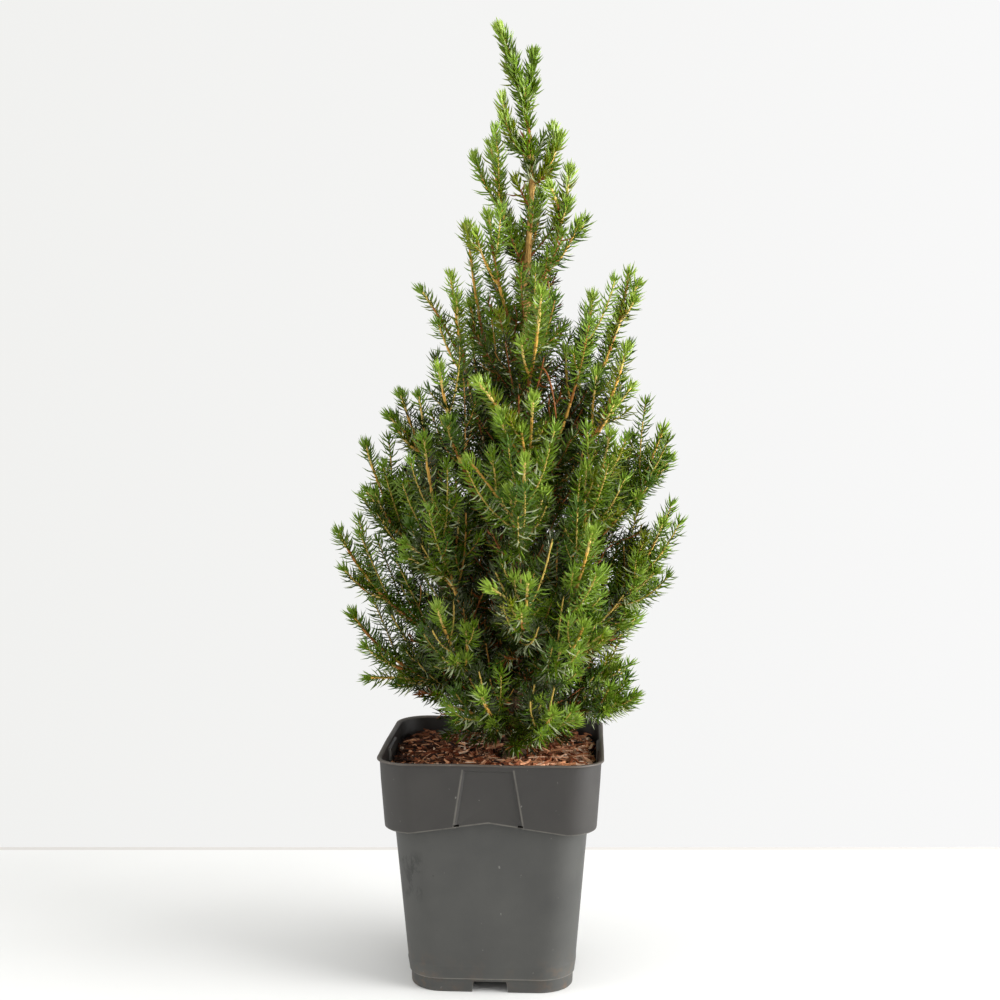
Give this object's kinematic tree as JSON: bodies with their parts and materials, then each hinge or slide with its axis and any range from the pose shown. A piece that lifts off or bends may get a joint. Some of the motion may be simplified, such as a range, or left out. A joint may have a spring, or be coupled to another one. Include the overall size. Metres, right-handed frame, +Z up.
{
  "type": "potted alberta spruce",
  "caption": "Dwarf Alberta spruce, a narrow young conifer with upswept needled shoots, growing in a square plastic nursery pot with bark mulch.",
  "frame": {"origin": "middle of the pot's flat underside", "axes": "+Z up along the plant, -Y towards the front, +X to the right"},
  "size_m": [0.2415, 0.2237, 0.645],
  "materials": {
    "pot_plastic": "matt dark grey moulded plastic",
    "bark_mulch": "damp shredded bark",
    "bark": "rough young bark",
    "needles": "waxy green needles"
  },
  "bodies": {
    "root": {"pot": "pot_plastic", "mulch": "bark_mulch", "trunk": "bark", "bough_back_3": "bark", "bough_back_left_3": "bark", "bough_back_right_3": "bark", "bough_front_4": "bark", "bough_front_5": "bark", "bough_front_left_2": "bark", "bough_front_left_3": "bark", "bough_front_right_3": "bark", "bough_left_3": "bark", "bough_left_4": "bark", "bough_left_5": "bark", "bough_right_3": "bark", "bough_right_5": "bark", "bough_right_6": "bark", "mass_leader": "needles", "mass_back_1": "needles", "mass_back_2": "needles", "mass_back_3": "needles", "mass_back_4": "needles", "mass_back_5": "needles", "mass_back_left_1": "needles", "mass_back_left_2": "needles", "mass_back_left_3": "needles", "mass_back_left_4": "needles", "mass_back_right_1": "needles", "mass_back_right_2": "needles", "mass_back_right_3": "needles", "mass_back_right_4": "needles", "mass_front_1": "needles", "mass_front_2": "needles", "mass_front_3": "needles", "mass_front_4": "needles", "mass_front_5": "needles", "mass_front_6": "needles", "mass_front_left_1": "needles", "mass_front_left_2": "needles", "mass_front_left_3": "needles", "mass_front_left_4": "needles", "mass_front_right_1": "needles", "mass_front_right_2": "needles", "mass_front_right_3": "needles", "mass_left_1": "needles", "mass_left_2": "needles", "mass_left_3": "needles", "mass_left_4": "needles", "mass_left_5": "needles", "mass_left_6": "needles", "mass_left_7": "needles", "mass_left_8": "needles", "mass_right_1": "needles", "mass_right_2": "needles", "mass_right_3": "needles", "mass_right_4": "needles", "mass_right_5": "needles", "mass_right_6": "needles", "mass_right_7": "needles", "mass_right_8": "needles"}
  },
  "joints": []
}
